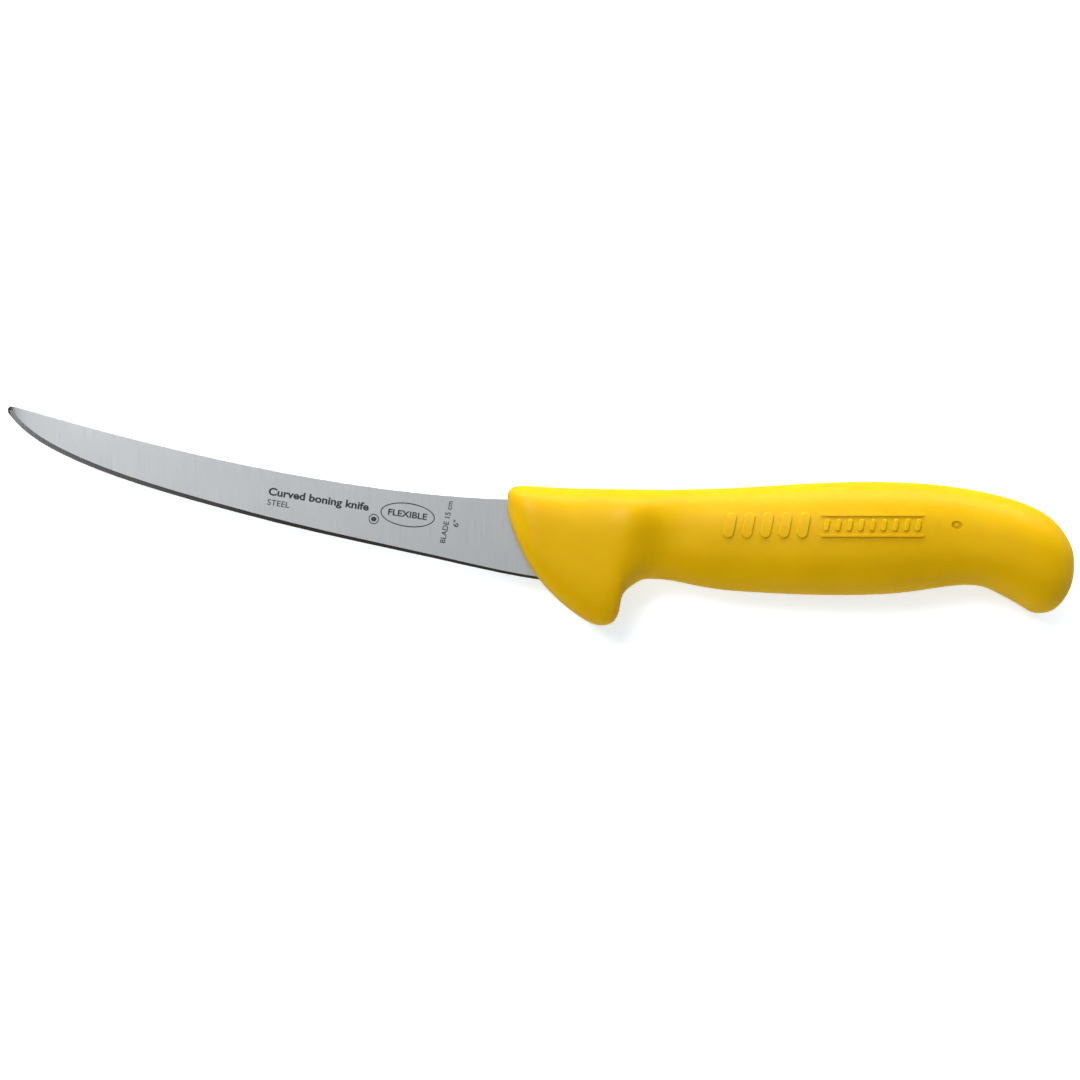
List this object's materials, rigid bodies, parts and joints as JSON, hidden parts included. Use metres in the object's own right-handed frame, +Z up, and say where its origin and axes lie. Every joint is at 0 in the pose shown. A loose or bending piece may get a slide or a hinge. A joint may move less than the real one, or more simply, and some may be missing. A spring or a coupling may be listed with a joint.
{
  "type": "boning knife",
  "caption": "Curved flexible boning knife: narrow upswept steel blade with a blunted tip, and a moulded yellow handle with a finger guard and a butt hook.",
  "frame": {"origin": "middle of the knife's bounding box, on the surface that it rests on when it lies on its side", "axes": "+X along the knife towards the butt of the handle (tip at -X), +Y across the blade towards the spine, +Z up through the thickness"},
  "size_m": [0.288, 0.0592, 0.0225],
  "materials": {
    "blade_steel": "fine satin ground stainless steel, with a bright cutting bevel",
    "handle_plastic": "yellow moulded polypropylene with a soft satin sheen"
  },
  "bodies": {
    "root": {"blade": "blade_steel", "handle": "handle_plastic"}
  },
  "joints": []
}
